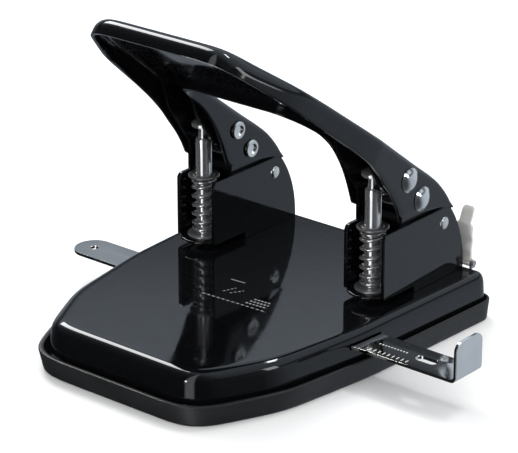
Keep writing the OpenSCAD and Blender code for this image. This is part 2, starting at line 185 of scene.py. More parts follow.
def follow(knots, t):
    """A smooth curve through (t, value) knots, level with its neighbours' slopes at each knot."""
    if t <= knots[0][0]:
        return knots[0][1]
    if t >= knots[-1][0]:
        return knots[-1][1]
    i = max(k for k in range(len(knots) - 1) if knots[k][0] <= t)

    def slope(k):
        a = knots[max(k - 1, 0)]
        b = knots[min(k + 1, len(knots) - 1)]
        return (b[1] - a[1]) / (b[0] - a[0])

    (t0, v0), (t1, v1) = knots[i], knots[i + 1]
    h = t1 - t0
    u = (t - t0) / h
    return ((1 + 2 * u) * (1 - u) ** 2 * v0 + u * (1 - u) ** 2 * h * slope(i)
            + u * u * (3 - 2 * u) * v1 + u * u * (u - 1) * h * slope(i + 1))


def ease(t):
    t = min(max(t, 0), 1)
    return t * t * (3 - 2 * t)


# ---- mesh makers ----

def loft(bm, rows, closed=True, caps=True):
    """Carries the first row of points through all the others by extruding its edges."""
    verts = [bm.verts.new(p) for p in rows[0]]
    pairs = list(zip(verts, verts[1:]))
    if closed:
        pairs.append((verts[-1], verts[0]))
    edges = [bm.edges.new(pair) for pair in pairs]
    first = list(edges)
    for row in rows[1:]:
        out = bmesh.ops.extrude_edge_only(bm, edges=edges)["geom"]
        fresh = {v for v in out if isinstance(v, bmesh.types.BMVert)}
        edges = [e for e in out if isinstance(e, bmesh.types.BMEdge)
                 and e.verts[0] in fresh and e.verts[1] in fresh]
        twins = []
        for v, point in zip(verts, row):
            twin = next(e.other_vert(v) for e in v.link_edges if e.other_vert(v) in fresh)
            twin.co = point
            twins.append(twin)
        verts = twins
    if closed and caps:
        bmesh.ops.contextual_create(bm, geom=first)
        bmesh.ops.contextual_create(bm, geom=edges)


def slab(bm, outline, x0, x1):
    """A plate standing across X: an outline in (y, z) extruded from x0 to x1."""
    face = bm.faces.new([bm.verts.new((x0, y, z)) for y, z in outline])
    out = bmesh.ops.extrude_face_region(bm, geom=[face])["geom"]
    verts = [v for v in out if isinstance(v, bmesh.types.BMVert)]
    bmesh.ops.translate(bm, vec=(x1 - x0, 0, 0), verts=verts)


def block(bm, x0, x1, y0, y1, z0, z1):
    """A rectangular block between two corners."""
    place = Matrix.Translation(((x0 + x1) / 2, (y0 + y1) / 2, (z0 + z1) / 2))
    size = Matrix.Diagonal((x1 - x0, y1 - y0, z1 - z0, 1))
    bmesh.ops.create_cube(bm, size=1, matrix=place @ size)


def lathe(bm, profile, place=(0, 0, 0), along="Z", steps=48):
    """Turns a profile of (radius, height) points round an axis through place."""
    verts = [bm.verts.new((r, 0, h)) for r, h in profile]
    edges = [bm.edges.new(pair) for pair in zip(verts, verts[1:])]
    bmesh.ops.spin(bm, geom=verts + edges, cent=(0, 0, 0), axis=(0, 0, 1),
                   angle=2 * math.pi, steps=steps, use_merge=True)
    turned = connected(bm, verts)
    if along == "X":
        bmesh.ops.rotate(bm, cent=(0, 0, 0), matrix=Matrix.Rotation(math.pi / 2, 3, "Y"), verts=turned)
    if along == "-X":
        bmesh.ops.rotate(bm, cent=(0, 0, 0), matrix=Matrix.Rotation(-math.pi / 2, 3, "Y"), verts=turned)
    bmesh.ops.translate(bm, vec=place, verts=turned)


def connected(bm, verts):
    """Every vertex that hangs together with the given ones."""
    seen = set(verts)
    waiting = list(verts)
    while waiting:
        v = waiting.pop()
        for e in v.link_edges:
            other = e.other_vert(v)
            if other not in seen:
                seen.add(other)
                waiting.append(other)
    return list(seen)


def bar(bm, r, x0, x1, y, z, steps=32):
    """A plain round bar along X, used to cut holes."""
    lathe(bm, [(0, x0), (r, x0), (r, x1), (0, x1)], (0, y, z), "X", steps)


def post(bm, r, z0, z1, x, y, steps=32):
    """A plain round bar along Z, used to cut holes."""
    lathe(bm, [(0, z0), (r, z0), (r, z1), (0, z1)], (x, y, 0), "Z", steps)


def solid(draw):
    """Draws into a new mesh object, still in millimetres, and returns the object."""
    bm = bmesh.new()
    draw(bm)
    bmesh.ops.remove_doubles(bm, verts=bm.verts, dist=0.0004)
    bmesh.ops.recalc_face_normals(bm, faces=bm.faces)
    mesh = bpy.data.meshes.new("work")
    bm.to_mesh(mesh)
    bm.free()
    obj = bpy.data.objects.new("work", mesh)
    bpy.context.scene.collection.objects.link(obj)
    return obj


def combine(base, *steps):
    """Applies (operation, object) Boolean steps to a work object and removes the tools."""
    for operation, tool in steps:
        cut = base.modifiers.new("cut", "BOOLEAN")
        cut.operation = operation
        cut.object = tool
        cut.solver = "EXACT"
        bpy.context.view_layer.update()
        settled = base.evaluated_get(bpy.context.evaluated_depsgraph_get())
        mesh = bpy.data.meshes.new_from_object(settled)
        base.modifiers.clear()
        old = base.data
        base.data = mesh
        bpy.data.meshes.remove(old)
        tool_mesh = tool.data
        bpy.data.objects.remove(tool)
        bpy.data.meshes.remove(tool_mesh)
    return base


def together(*parts):
    """Puts several work objects into one, each as its own closed shell."""
    bm = bmesh.new()
    for part in parts:
        bm.from_mesh(part.data)
        mesh = part.data
        bpy.data.objects.remove(part)
        bpy.data.meshes.remove(mesh)
    mesh = bpy.data.meshes.new("work")
    bm.to_mesh(mesh)
    bm.free()
    obj = bpy.data.objects.new("work", mesh)
    bpy.context.scene.collection.objects.link(obj)
    return obj


def finish_piece(obj, name, body, slot, nodes, crease=32, edge=0.0, sheet=0.0, look=None):
    """Brings a work object to metres, names it, gives it its finish and hangs it on its body."""
    obj.name = name
    obj.data.name = name
    obj.data.transform(Matrix.Diagonal((MM, MM, MM, 1)))
    obj.data.shade_smooth()
    obj.data.set_sharp_from_angle(angle=math.radians(crease))
    obj.data.materials.clear()
    obj.data.materials.append(FINISH[look or slot])
    if sheet:
        wall = obj.modifiers.new("sheet", "SOLIDIFY")
        wall.thickness = sheet * MM
        wall.offset = -1
        wall.use_even_offset = True
    if edge:
        trim = obj.modifiers.new("edge", "BEVEL")
        trim.width = edge * MM
        trim.segments = 2
        trim.limit_method = "ANGLE"
        trim.angle_limit = math.radians(40)
    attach(obj, body)
    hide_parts(*nodes)


# ---- finishes ----

class Port:
    """One shader socket, so that shader sums read as plain Python."""

    def __init__(self, graph, socket):
        self.graph = graph
        self.socket = socket

    def _sum(self, operation, a, b):
        return self.graph.node("ShaderNodeMath", {"operation": operation}, {0: a, 1: b})[0]

    def __add__(self, other):
        return self._sum("ADD", self, other)

    def __radd__(self, other):
        return self._sum("ADD", other, self)

    def __sub__(self, other):
        return self._sum("SUBTRACT", self, other)

    def __rsub__(self, other):
        return self._sum("SUBTRACT", other, self)

    def __mul__(self, other):
        return self._sum("MULTIPLY", self, other)

    def __rmul__(self, other):
        return self._sum("MULTIPLY", other, self)

    def __lt__(self, other):
        return self._sum("LESS_THAN", self, other)

    def __gt__(self, other):
        return self._sum("GREATER_THAN", self, other)

    def __abs__(self):
        return self._sum("ABSOLUTE", self, 0)


class Graph:
    """A node tree with the one method that adds nodes to it."""

    def __init__(self, tree):
        self.tree = tree

    def node(self, kind, settings, inputs):
        """Makes a node: its settings first, then its values and links. Gives its outputs."""
        made = self.tree.nodes.new(kind)
        stops = settings.pop("stops", None)
        for key, value in settings.items():
            setattr(made, key, value)
        if stops:
            ramp = made.color_ramp
            for place, shade in stops[2:]:
                ramp.elements.new(place).color = shade
            for element, (place, shade) in zip(ramp.elements, sorted(stops)):
                element.position = place
                element.color = shade
        for key, value in inputs.items():
            if isinstance(value, Port):
                self.tree.links.new(value.socket, made.inputs[key])
            else:
                made.inputs[key].default_value = value
        return [Port(self, s) for s in made.outputs]

    def ramp(self, value, *stops):
        return self.node("ShaderNodeValToRGB", {"stops": list(stops)}, {0: value})[0]

    def blend(self, share, a, b):
        return self.node("ShaderNodeMix", {"data_type": "RGBA"}, {0: share, 6: a, 7: b})[2]

    def spread(self, value, from_low, from_high, to_low, to_high):
        return self.node("ShaderNodeMapRange", {}, {0: value, 1: from_low, 2: from_high,
                                                    3: to_low, 4: to_high})[0]

    def vector(self, operation, *inputs):
        return self.node("ShaderNodeVectorMath", {"operation": operation}, dict(enumerate(inputs)))


class Finish(Graph):
    """A material under construction, with its Principled shader."""

    def __init__(self, name, **values):
        self.material = bpy.data.materials.new(name)
        self.material.use_nodes = True
        super().__init__(self.material.node_tree)
        self.shader = self.tree.nodes["Principled BSDF"]
        for socket, value in values.items():
            self.shader.inputs[socket.replace("_", " ")].default_value = value

    def feed(self, socket, port):
        self.tree.links.new(port.socket, self.shader.inputs[socket])

    def place(self):
        """Object coordinates, in metres."""
        return self.node("ShaderNodeTexCoord", {}, {})[3]

    def noise(self, scale, detail=2.0, rough=0.5, at=None, stretch=None):
        at = at or self.place()
        if stretch:
            at = self.node("ShaderNodeMapping", {}, {0: at, 3: stretch})[0]
        return self.node("ShaderNodeTexNoise", {}, {"Vector": at, "Scale": scale, "Detail": detail,
                                                    "Roughness": rough})[0]

    def bump(self, height, distance, strength=1.0):
        self.feed("Normal", self.node("ShaderNodeBump", {}, {"Height": height, "Distance": distance,
                                                             "Strength": strength})[0])


# printed guide on the deck, in mm: x and y of both ends, line width, dash pitch, share of each dash
GUIDE_MARKS = (
    (-9.8, -36.0, 18.8, -34.5, 0.5, 2.2, 0.62),
    (-9.8, -19.9, -3.5, -19.4, 0.5, 20, 1.0),
    (-5.0, -30.0, -3.0, -25.0, 0.45, 1.6, 0.6),
    (-2.0, -29.8, 0.8, -25.2, 0.45, 1.6, 0.6),
    (8.0, -32.6, 17.0, -31.9, 0.8, 1.5, 0.6),
    (8.3, -30.5, 16.4, -29.9, 0.8, 1.5, 0.6),
    (8.6, -28.4, 15.8, -27.9, 0.8, 1.5, 0.6),
)


# printed scale on the paper gauge, in the same order
GAUGE_MARKS = (
    (61.0, -5.2, 78.0, -5.2, 1.8, 2.0, 0.2),
    (61.0, 0.5, 74.0, 0.5, 0.8, 1.3, 0.4),
)


def print_mask(f, marks, over):
    """One where print lies, above the height given in mm, and nought elsewhere."""
    at = f.node("ShaderNodeSeparateXYZ", {}, {0: f.place()})
    total = None
    for x0, y0, x1, y1, width, pitch, share in marks:
        run = math.dist((x0, y0), (x1, y1))
        dx = (x1 - x0) / run
        dy = (y1 - y0) / run
        right = at[0] - x0 * MM
        up = at[1] - y0 * MM
        along = right * dx + up * dy
        across = up * dx - right * dy
        beat = f.node("ShaderNodeMath", {"operation": "FRACT"}, {0: along * (1 / (pitch * MM))})[0]
        dash = (abs(across) < width * MM / 2) * (along > 0) * (along < run * MM) * (beat < share)
        total = dash if total is None else total + dash
    return total * (at[2] > over * MM)


def grey(v, blue=1.0):
    return (v, v, v * blue, 1)


def black_enamel(name="black_enamel", printed=False):
    """Gloss black stove enamel on steel, with a faint orange-peel skin and dust-fine flecks."""
    f = Finish(name, Roughness=0.07, IOR=1.5, Coat_Weight=0.2, Coat_Roughness=0.03)
    base = f.noise(900, 3)
    colour = f.ramp(base, (0.35, (0.0020, 0.0022, 0.0026, 1)), (0.7, (0.0038, 0.0041, 0.0048, 1)))
    gloss = f.spread(f.noise(120, 3), 0.3, 0.75, 0.04, 0.10)
    if printed:
        mask = print_mask(f, GUIDE_MARKS, deck_top - 1)
        colour = f.blend(mask, colour, (0.34, 0.35, 0.37, 1))
        gloss = gloss + mask * 0.3
    f.feed("Base Color", colour)
    f.feed("Roughness", gloss)
    f.bump(f.noise(420, 1.5), 0.000012, 0.6)
    return f


def black_plastic():
    """Satin moulded plastic with a fine spark-eroded grain."""
    f = Finish("black_plastic", IOR=1.46)
    f.feed("Base Color", f.ramp(f.noise(60, 3), (0.3, (0.011, 0.0114, 0.0122, 1)),
                                (0.7, (0.017, 0.0175, 0.0185, 1))))
    f.feed("Roughness", f.spread(f.noise(500, 2), 0.3, 0.7, 0.34, 0.46))
    f.bump(f.noise(2600, 2), 0.00002, 0.5)
    return f


def rubber():
    """Matt grey-black rubber."""
    f = Finish("rubber", IOR=1.5)
    f.feed("Base Color", f.ramp(f.noise(150, 3), (0.3, (0.018, 0.018, 0.018, 1)),
                                (0.7, (0.03, 0.03, 0.029, 1))))
    f.feed("Roughness", f.spread(f.noise(700, 2), 0.3, 0.7, 0.7, 0.9))
    f.bump(f.noise(1800, 2), 0.00004, 0.6)
    return f


def bright_metal(name, shade, dark, rough_low, rough_high, brush, grain, metal=0.9, marks=()):
    """Plated or polished steel; brush stretches its fine lines, grain is how deep they are."""
    f = Finish(name, Metallic=metal)
    lines = f.noise(700, 3, 0.6, stretch=brush)
    blots = f.noise(90, 3)
    f.feed("Base Color", f.ramp(blots, (0.3, dark), (0.7, shade)))
    f.feed("Roughness", f.spread(lines + blots, 0.6, 1.4, rough_low, rough_high))
    f.bump(lines, grain, 0.5)
    if marks:
        shift = [(x0, y0 + gauge_y, x1, y1 + gauge_y, *rest) for x0, y0, x1, y1, *rest in marks]
        mask = print_mask(f, shift, gauge_low + gauge_t - 0.1)
        f.feed("Metallic", metal - mask * metal)
    return f


FINISH = {
    "black_enamel": black_enamel().material,
    "printed_enamel": black_enamel("printed_enamel", True).material,
    "black_plastic": black_plastic().material,
    "rubber": rubber().material,
    "bright_nickel": bright_metal("bright_nickel", grey(0.92, 0.97), grey(0.86, 0.97), 0.05, 0.10,
                                  (0.08, 1, 1), 0.000004, 1.0).material,
    "scaled_nickel": bright_metal("scaled_nickel", grey(0.92, 0.97), grey(0.86, 0.97), 0.05, 0.10,
                                  (0.08, 1, 1), 0.000004, 1.0, GAUGE_MARKS).material,
    "satin_nickel": bright_metal("satin_nickel", grey(0.86, 0.96), grey(0.78, 0.96), 0.3, 0.42,
                                 (1, 1, 0.08), 0.000004, 0.45).material,
    "pin_chrome": bright_metal("pin_chrome", grey(0.78, 1.02), grey(0.7, 1.02), 0.1, 0.18,
                               (1, 1, 0.05), 0.000004).material,
    "spring_steel": bright_metal("spring_steel", grey(0.7, 1.02), grey(0.58, 1.02), 0.14, 0.26,
                                 (1, 1, 1), 0.000004).material,
    "die_steel": bright_metal("die_steel", grey(0.42), grey(0.34), 0.25, 0.4,
                              (1, 1, 0.2), 0.00001).material,
    "zinc_steel": bright_metal("zinc_steel", grey(0.55, 1.03), grey(0.45, 1.03), 0.25, 0.42,
                               (1, 1, 1), 0.00001).material,
}


# ---- base ----

def base_row(z, inset):
    """The plan of the base at one height, drawn in by inset, as a row of points."""
    half = [(base_half_w - 31.9, 14 - base_front, 14, 1.0),
            (base_half_w - 36.9, -0.57 * base_front, 30, 0.85),
            (base_half_w - 47.4, -20, 45, 0.65), (base_half_w - 6, base_rear - 6, 6, 0.5)]
    right = [(x, y, r - inset * grow) for x, y, r, grow in half]
    left = [(-x, y, r) for x, y, r in reversed(right)]
    outline = wrap(right + left, [16, 10, 3, 12, 12, 3, 10, 16])
    outline = relax(outline, 300, 20, lambda x, y: ease((26 - y) / 20))
    return [(x, y, z) for x, y in outline]


def base_rows(profile):
    return [base_row(z, inset) for z, inset in profile]


def make_chip_tray():
    wall = [(2.2, 9.0), (2.2, 4.4), (2.4, 3.6), (3.2, 3.0), (tray_lip - 1.0, 1.9), (tray_lip - 0.2, 1.8),
            (tray_lip, 1.5), (tray_lip, 0.45), (tray_lip - 0.12, 0.15), (tray_lip - 0.4, 0.0),
            (tray_lip - 0.8, 0.03), (tray_lip - 3, 0.5), (1.4, 1.25), (0.6, 1.5), (0.15, 1.9),
            (0, 2.6), (0, 8.0)]

    def draw(bm):
        loft(bm, base_rows(wall))
        for s in (-1, 1):
            for x, y in ((side_x - 9.5, 26 - base_front), (20, base_rear - 10.5)):
                post(bm, 2.5, 1.2, 14, s * x, y)
    finish_piece(solid(draw), "moulded_chip_tray", "base", "black_plastic", ("chip_tray",), crease=40)


def make_feet():
    def draw(bm):
        for s in (-1, 1):
            for x, y in ((side_x - 9.5, 15 - base_front), (side_x + 7, base_rear - 14)):
                lathe(bm, [(0, 0.15), (4.6, 0.15), (4.9, 0), (5.5, 0), (5.9, 0.2), (6, 0.5), (6, 1), (0, 1)],
                      (s * x, y, 0))
    finish_piece(solid(draw), "moulded_rubber_feet", "base", "rubber", ("rubber_feet",))


def make_deck():
    skin = [(deck_low, 4.0), (11.5, 4.3), (13.2, 4.5)]
    width, height = 5.0, deck_top - 13.8
    for k in range(17):
        a = math.pi / 2 * k / 16
        skin.append((deck_top - height * (1 - math.sin(a)), 4.6 + width * (1 - math.cos(a))))
    skin.append((deck_top, 11.5))
    lining = [(z - deck_sheet * ease((z - deck_low) / 6), inset + deck_sheet) for z, inset in reversed(skin)]

    def draw(bm):
        loft(bm, base_rows(lining + skin))

    def openings(bm):
        y0 = gauge_y - gauge_half - 0.5
        y1 = gauge_y + gauge_half + 0.5
        z0 = gauge_low - 0.5
        z1 = gauge_low + gauge_t + 0.5
        for s in (-1, 1):
            block(bm, s * (base_half_w - 24), s * (base_half_w + 5), y0, y1, z0, z1)
            post(bm, 3.3, deck_top - 6, deck_top + 2, s * side_x, 0)
    obj = combine(solid(draw), ("DIFFERENCE", solid(openings)))
    finish_piece(obj, "pressed_deck", "stand", "black_enamel", ("deck",), crease=40, look="printed_enamel")


# ---- heads ----

def make_head_frame(side, name):
    x = side * side_x
    reach = head_in + 0.2

    def side_plate(bm, x0, x1):
        cy, cz, r = 2.4, 20.1, 40.8
        top = math.degrees(math.asin((head_top - cz) / r))
        back = math.degrees(math.asin((deck_top - cz) / r))
        outline = arc(cy, cz, r, back, top, 28)
        outline += arc(-5 + 2.2, head_top - 2.2, 2.2, 90, 180, 6)
        outline += arc(-5 + 1.2, nose_z + 1.2, 1.2, 180, 270, 5)
        outline += [(throat_back, nose_z), (throat_back, deck_top)]
        slab(bm, outline, x0, x1)

    def nose(bm):
        lathe(bm, [(5, 0), (head_half_w - 0.6, 0), (head_half_w - 0.15, 0.2), (head_half_w, 0.6),
                   (head_half_w - 0.15, 1.0), (head_half_w - 0.6, nose_t), (5, nose_t), (5, 0)],
              (x, 0, nose_z), steps=64)

    def shelf(bm):
        block(bm, x - reach, x + reach, 1, throat_back + 1, nose_z + 0.02, nose_z + nose_t - 0.02)

    def webs(bm):
        block(bm, x - reach, x + reach, throat_back, throat_back + head_sheet, deck_top, nose_z + nose_t)
        block(bm, x - reach, x + reach, throat_back + 0.1, head_rear - 0.1, deck_top + 0.02,
              deck_top + head_sheet)
        block(bm, x - reach, x + reach, head_rear - head_sheet, head_rear - 0.05, deck_top, deck_top + 10.7)

    def shelf_hole(bm):
        post(bm, 5, nose_z - 2, nose_z + 4, x, 0, 48)

    def hinge_hole(bm):
        bar(bm, hinge_r, x - 15, x + 15, *hinge)

    def plate(x0, x1):
        return combine(solid(lambda bm: side_plate(bm, x0, x1)), ("DIFFERENCE", solid(hinge_hole)))

    obj = together(plate(x - head_half_w, x - head_in), plate(x + head_in, x + head_half_w),
                   solid(nose), combine(solid(shelf), ("DIFFERENCE", solid(shelf_hole))), solid(webs))
    finish_piece(obj, name + "_head_pressing", "stand", "black_enamel", (name + "_head_frame",),
                 crease=35, edge=0.28)


def make_guide_bush(side, name):
    z = nose_z - 0.4

    def draw(bm):
        lathe(bm, [(3.06, z + 0.2), (3.26, z), (4.8, z), (5, z + 0.2), (5, z + 1.6), (6.2, z + 1.6),
                   (6.4, z + 1.8), (6.4, z + 2.2), (6.1, z + 2.5), (3.5, z + 2.5), (3.06, z + 2.1),
                   (3.06, z + 0.2)], (side * side_x, 0, 0), steps=64)
    finish_piece(solid(draw), name + "_pin_bush", "stand", "zinc_steel", (name + "_guide_bush",))


def make_head_rivets():
    def draw(bm):
        for s in (-1, 1):
            for y in base_rivet_ys:
                z = deck_top + head_sheet
                dome = arc(0, z, 3, 0, 90, 8)
                dome = [(r, z + (h - z) * 0.47) for r, h in dome]
                foot = [(0, -2.4), (2.8, -2.4), (3, -2.2), (3, -1.2), (1.95, -1.2)]
                foot = [(r, deck_top + h) for r, h in foot]
                lathe(bm, foot + [(1.95, z)] + dome, (s * side_x, y, 0))
    finish_piece(solid(draw), "base_rivet_heads", "stand", "zinc_steel", ("head_rivets",))


def make_hinge_pin(side, name):
    half = head_half_w

    def draw(bm):
        cap = [(r, half + (h - half) * 0.33) for r, h in arc(0, half, hinge_r + 0.5, 0, 90, 8)]
        foot = [(r, -h) for r, h in reversed(cap)]
        lathe(bm, foot + [(hinge_r, -half), (hinge_r, half)] + cap, (side * side_x, *hinge), "X")
    finish_piece(solid(draw), name + "_hinge_rivet", "stand", "bright_nickel", (name + "_hinge_pin",))


# ---- pins and springs ----

def make_punch_pin(side, name):
    neck = 2.0
    shoulder = pin_top - 7.6
    head_z = pin_top - 2.6
    head_r = 4.5

    def draw(bm):
        crown = [(r, head_z + 0.9 + (h - head_z - 0.9) * 0.38)
                 for r, h in arc(0, head_z + 0.9, head_r, 0, 90, 12)]
        lathe(bm, [(0, pin_low), (2.9, pin_low), (3, pin_low + 0.1), (3, shoulder - 0.2),
                   (2.85, shoulder + 0.05), (neck + 0.1, shoulder + 0.6), (neck, shoulder + 0.8),
                   (neck, head_z - 0.25),
                   (neck + 0.3, head_z), (head_r - 0.3, head_z), (head_r, head_z + 0.3)] + crown,
              (side * side_x, 0, 0), steps=64)

    def notch(bm):
        bar(bm, 0.9, side * side_x - 4, side * side_x + 4, 0, pin_low)
    obj = combine(solid(draw), ("DIFFERENCE", solid(notch)))
    finish_piece(obj, name + "_ground_pin", name + "_punch", "pin_chrome", (name + "_punch_pin",))


def make_spring_clip(side, name):
    def draw(bm):
        z = clip_z
        lathe(bm, [(3.05, z + 0.15), (3.3, z), (5.2, z), (5.9, z + 0.35), (5.9, z + 0.75), (5.65, z + 1),
                   (5.2, z + 0.8), (4.2, z + 0.7), (3.8, z + 1), (3.05, z + 1), (3.05, z + 0.15)],
              (side * side_x, 0, 0), steps=64)
    finish_piece(solid(draw), name + "_spring_cup", name + "_punch", "zinc_steel", (name + "_spring_clip",),
                 look="die_steel")


def make_return_spring(side, name):
    wire = spring_wire
    mean_r = (spring_od - wire) / 2
    end_turns = 1.0
    turns = 5.3
    run_in = 0.35
    per_turn = 26
    z0 = spring_low + wire / 2
    rise = spring_top - spring_low - wire
    end_rise = wire * 1.04
    x = side * side_x

    def draw(bm):
        place = Matrix.Translation((x + mean_r, 0, z0)) @ Matrix.Rotation(math.pi / 2, 4, "X")
        ring = bmesh.ops.create_circle(bm, segments=10, radius=wire / 2, matrix=place)["verts"]
        edges = list({e for v in ring for e in v.link_edges})
        bmesh.ops.contextual_create(bm, geom=edges)
        geom = list(ring) + edges
        free = rise - 2 * end_rise
        slow = run_in / turns * 0.75
        stretches = ((end_turns, end_rise), (run_in, free * slow),
                     (turns - 2 * run_in, free * (1 - 2 * slow)), (run_in, free * slow),
                     (end_turns, end_rise))
        for count, climb in stretches:
            steps = max(3, round(per_turn * count))
            out = bmesh.ops.spin(bm, geom=geom, cent=(x, 0, 0), axis=(0, 0, 1),
                                 dvec=(0, 0, climb / steps), angle=2 * math.pi * count, steps=steps)
            geom = [g for g in out["geom_last"] if not isinstance(g, bmesh.types.BMFace)]
        edges = [g for g in geom if isinstance(g, bmesh.types.BMEdge)]
        bmesh.ops.contextual_create(bm, geom=edges)
    obj = solid(draw)
    finish_piece(obj, name + "_coil_spring", "stand", "spring_steel", (name + "_return_spring",), crease=60)
    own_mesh(obj)


# ---- lever ----

def at_lever(points):
    """From the lever's own frame, where -Y runs up its slope, to the frame of the part."""
    turn = Matrix.Rotation(-lever_tilt, 3, "X")
    return [turn @ Vector(p) + lever_bend for p in points]


def lever_edges():
    """Matching stations along the right half: pairs of outer edge and inner edge."""
    grip = (grip_half_w - grip_corner, grip_corner - lever_reach, grip_corner)
    cheek = (lever_half_w - 36, -48, 30)
    shoulder = (lever_half_w - 20, -12, 20)
    band = wrap([grip, cheek, shoulder, (lever_half_w - 20, 60, 20), (20 - lever_half_w, 60, 20),
                 (-grip[0], grip[1], grip_corner)], [26, 18, 14, 2, 2, 4])
    outer = [(x, y) for x, y in band if x > grip[0] - 0.01 and y < -12 + 0.01]
    outer = [(grip[0] * k / 8, -lever_reach) for k in range(8)] + outer + [(lever_half_w, -12)]
    inner = [(0, -opening_reach), (open_half_w - 14, -opening_reach)]
    inner += arc(open_half_w - 14, 14 - opening_reach, 14, -90, 0, 30) + [(open_half_w, -12)]

    def walk(line, share):
        lengths = [(Vector(b) - Vector(a)).length for a, b in zip(line, line[1:])]
        left = share * sum(lengths)
        for (a, b), size in zip(zip(line, line[1:]), lengths):
            if left <= size and size > 0:
                return Vector(a).lerp(Vector(b), left / size)
            left -= size
        return Vector(line[-1])

    def eased(line, passes):
        for _ in range(passes):
            line = [p if i in (0, len(line) - 1) else line[i - 1] / 4 + p / 2 + line[i + 1] / 4
                    for i, p in enumerate(line)]
        return line

    count = 72
    stations = list(zip(eased([walk(outer, k / count) for k in range(count + 1)], 12),
                        eased([walk(inner, k / count) for k in range(count + 1)], 3)))
    y = -12
    while y < ear_tip - 0.01:
        y = min(y + 1.4, ear_tip)
        stations.append((Vector((lever_half_w, y)), Vector((open_half_w, y))))
    return stations


def side_normals(line, sign):
    """Unit directions square to a line of points, pointing to its right or left."""
    out = []
    for i in range(len(line)):
        run = line[min(i + 1, len(line) - 1)] - line[max(i - 1, 0)]
        run.normalize()
        out.append(Vector((run.y, -run.x)) * sign)
    return out


OUTER_LOW = [(-88, -7.1), (-60, -7.9), (-40, -8.5), (-26, -9.0), (-15, -9.8), (-8, -11), (-1.6, -12.9),
             (5.4, -14.9), (11, -17.2), (15, -19.6), (20, -24)]
INNER_LOW = [(-34, -6.3), (-25, -6.1), (-17, -6.1), (-9.9, -7.1), (-1.5, -10), (5.5, -13.6), (11, -17.2),
             (15, -20.2), (20, -25)]
BACK_LOW = [(10, -23), (17.2, -18.9), (28, -12.7), (39.9, -6.1), (45.1, -5.0)]
TOP_LINE = [(14, 0), (22, 0), (30, -0.4), (35.7, -1.4), (40, -2.6), (43.2, -3.9), (45.1, -4.6)]


def soft_max(a, b, ease_by=1.0):
    return (a + b + math.sqrt((a - b) ** 2 + ease_by ** 2)) / 2


def make_lever():
    stations = lever_edges()
    outers = [s[0] for s in stations]
    inners = [s[1] for s in stations]
    out_ways = side_normals(outers, 1)
    in_ways = side_normals(inners, 1)
    out_ways[0] = Vector((0, -1))
    in_ways[0] = Vector((0, -1))
    wall_steps = 5
    bend_steps = 8
    flat_steps = 4

    def section(k):
        outer, inner = outers[k], inners[k]
        y = outer.y if outer.y > -12.01 else None
        top = follow(TOP_LINE, outer.y)
        outer_low = soft_max(follow(OUTER_LOW, outer.y), follow(BACK_LOW, outer.y) if outer.y > 10 else -90)
        inner_low = soft_max(follow(INNER_LOW, inner.y), follow(BACK_LOW, inner.y) if inner.y > 10 else -90)
        fade = ease((outer.y - 12) / (ear_start - 12)) if y is not None else 0
        front = ease((-outer.y - 38) / 46)
        r_out = (2.4 + 3.2 * front) * (1 - fade) + 1.5 * fade
        r_in = 2.6 * (1 - fade) + 1.5 * fade
        r_out = min(r_out, (top - outer_low) * 0.7)
        r_in = min(r_in, (top - inner_low) * 0.7)
        row = []
        for i in range(wall_steps):
            z = inner_low + (top - r_in - inner_low) * i / wall_steps
            row.append((inner.x, inner.y, z))
        way = in_ways[k]
        for i in range(bend_steps + 1):
            a = math.pi / 2 * i / bend_steps
            spot = inner + way * (r_in * (1 - math.cos(a)))
            row.append((spot.x, spot.y, top - r_in * (1 - math.sin(a))))
        a_end = inner + way * r_in
        b_end = outer - out_ways[k] * r_out
        for i in range(1, flat_steps):
            spot = a_end.lerp(b_end, i / flat_steps)
            row.append((spot.x, spot.y, top))
        for i in range(bend_steps + 1):
            a = math.pi / 2 * (1 - i / bend_steps)
            spot = outer - out_ways[k] * (r_out * (1 - math.cos(a)))
            row.append((spot.x, spot.y, top - r_out * (1 - math.sin(a))))
        for i in range(1, wall_steps + 1):
            z = top - r_out + (outer_low - top + r_out) * i / wall_steps
            row.append((outer.x, outer.y, z))
        return row

    rows = [section(k) for k in range(len(stations))]
    mirrored = [[(-x, y, z) for x, y, z in row] for row in reversed(rows[1:])]

    def draw(bm):
        loft(bm, [at_lever(row) for row in mirrored + rows], closed=False)
        turn = Matrix.Rotation(lever_tilt, 3, "X")
        gone = []
        for face in bm.faces:
            c = turn @ (face.calc_center_median() - lever_bend)
            inside = open_half_w + 1.6 < abs(c.x) < lever_half_w - 1.6
            if c.y > ear_start and inside:
                gone.append(face)
        bmesh.ops.delete(bm, geom=gone, context="FACES")

    obj = solid(draw)
    up = Matrix.Rotation(-lever_tilt, 3, "X") @ Vector((0, 0, 1))
    middle = max(obj.data.polygons, key=lambda p: p.area)
    if middle.normal.dot(up) < 0:
        obj.data.flip_normals()
    finish_piece(obj, "pressed_lever", "lever", "black_enamel", ("lever_handle",), crease=50, edge=0.3,
                 sheet=lever_sheet)


